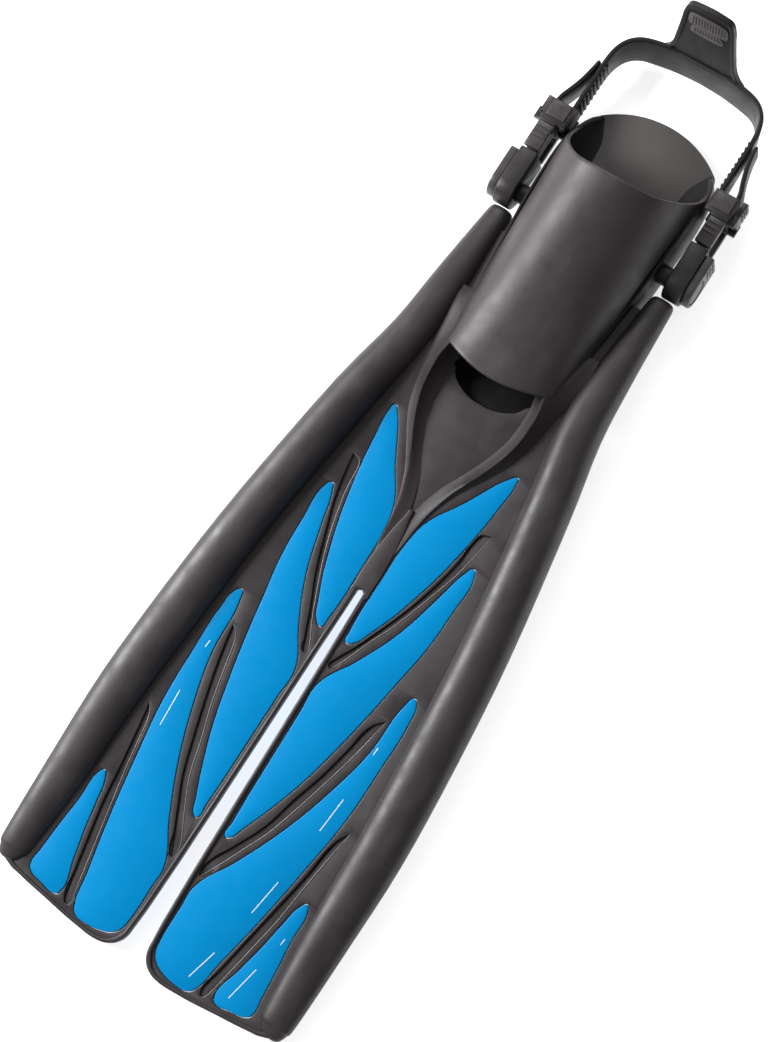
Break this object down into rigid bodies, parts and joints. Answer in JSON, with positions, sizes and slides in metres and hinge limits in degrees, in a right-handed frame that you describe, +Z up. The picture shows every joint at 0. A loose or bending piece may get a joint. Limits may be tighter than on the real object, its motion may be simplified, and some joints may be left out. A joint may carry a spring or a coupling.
{
  "type": "swim fin",
  "caption": "Open-heel split-blade swim fin with flex panels, a vented foot pocket, side rails, and a heel strap on swivelling quick-release buckles with lock levers.",
  "frame": {"origin": "centre of the fin's box on the floor it lies on", "axes": "+Y along the fin towards the heel, +X towards the right side rail, +Z up out of the top face"},
  "size_m": [0.238, 0.7146, 0.0849],
  "materials": {
    "pocket_rubber": "satin moulded rubber",
    "sole_rubber": "matte ribbed rubber",
    "blade_rubber": "satin moulded rubber",
    "flex_panel_plastic": "soft glossy elastomer",
    "buckle_plastic": "fine grained nylon",
    "strap_rubber": "satin moulded rubber",
    "grip_rubber": "ribbed rubber",
    "pin_steel": "turned steel"
  },
  "bodies": {
    "fin": {"foot_pocket": "pocket_rubber", "sole_plate": "sole_rubber", "center_spine": "blade_rubber", "rail_left": "blade_rubber", "blade_web_left": "blade_rubber", "flex_panel_left_1": "flex_panel_plastic", "flex_panel_left_2": "flex_panel_plastic", "flex_panel_left_3": "flex_panel_plastic", "flex_panel_left_4": "flex_panel_plastic", "swivel_post_left": "buckle_plastic", "post_cap_left": "buckle_plastic", "rail_right": "blade_rubber", "blade_web_right": "blade_rubber", "flex_panel_right_1": "flex_panel_plastic", "flex_panel_right_2": "flex_panel_plastic", "flex_panel_right_3": "flex_panel_plastic", "flex_panel_right_4": "flex_panel_plastic", "swivel_post_right": "buckle_plastic", "post_cap_right": "buckle_plastic"},
    "buckle_left": {"buckle_socket_left": "buckle_plastic", "socket_cover_left": "buckle_plastic"},
    "buckle_right": {"buckle_socket_right": "buckle_plastic", "socket_cover_right": "buckle_plastic"},
    "strap": {"heel_strap": "strap_rubber", "tab_grip_bars": "grip_rubber", "plug_frame_left": "buckle_plastic", "plug_frame_right": "buckle_plastic", "lever_pin_left": "pin_steel", "lever_pin_right": "pin_steel"},
    "lever_left": {"lock_lever_left": "buckle_plastic"},
    "squeeze_upper_left": {"squeeze_tab_upper_left": "buckle_plastic"},
    "squeeze_lower_left": {"squeeze_tab_lower_left": "buckle_plastic"},
    "lever_right": {"lock_lever_right": "buckle_plastic"},
    "squeeze_upper_right": {"squeeze_tab_upper_right": "buckle_plastic"},
    "squeeze_lower_right": {"squeeze_tab_lower_right": "buckle_plastic"}
  },
  "joints": [
    {"name": "swivel_left", "type": "hinge", "parent": "fin", "child": "buckle_left", "pos_m": [-0.0661, 0.206, 0.019], "axis": [1, 0, 0], "range_deg": [-15, 75]},
    {"name": "swivel_right", "type": "hinge", "parent": "fin", "child": "buckle_right", "pos_m": [0.0661, 0.206, 0.019], "axis": [1, 0, 0], "range_deg": [-15, 75]},
    {"name": "buckle_release", "type": "slide", "parent": "buckle_left", "child": "strap", "axis": [0, 1, 0], "range_m": [0, 0.024]},
    {"name": "lever_open_left", "type": "hinge", "parent": "strap", "child": "lever_left", "pos_m": [-0.075, 0.2596, 0.019], "axis": [0, 0, 1], "range_deg": [0, 25], "stiffness_Nm_per_rad": 0.05},
    {"name": "squeeze_upper_left", "type": "hinge", "parent": "strap", "child": "squeeze_upper_left", "pos_m": [-0.0664, 0.2532, 0.0285], "axis": [1, 0, 0], "range_deg": [0, 3.5], "stiffness_Nm_per_rad": 0.3},
    {"name": "squeeze_lower_left", "type": "hinge", "parent": "strap", "child": "squeeze_lower_left", "pos_m": [-0.0664, 0.2532, 0.0095], "axis": [1, 0, 0], "range_deg": [-3.5, 0], "stiffness_Nm_per_rad": 0.3},
    {"name": "lever_open_right", "type": "hinge", "parent": "strap", "child": "lever_right", "pos_m": [0.075, 0.2596, 0.019], "axis": [0, 0, -1], "range_deg": [0, 25], "stiffness_Nm_per_rad": 0.05},
    {"name": "squeeze_upper_right", "type": "hinge", "parent": "strap", "child": "squeeze_upper_right", "pos_m": [0.0664, 0.2532, 0.0285], "axis": [1, 0, 0], "range_deg": [0, 3.5], "stiffness_Nm_per_rad": 0.3},
    {"name": "squeeze_lower_right", "type": "hinge", "parent": "strap", "child": "squeeze_lower_right", "pos_m": [0.0664, 0.2532, 0.0095], "axis": [1, 0, 0], "range_deg": [-3.5, 0], "stiffness_Nm_per_rad": 0.3}
  ],
  "couplings": [
    {"joint": "swivel_right", "follows": "swivel_left", "ratio": 1},
    {"joint": "squeeze_lower_left", "follows": "squeeze_upper_left", "ratio": -1},
    {"joint": "squeeze_lower_right", "follows": "squeeze_upper_right", "ratio": -1}
  ]
}
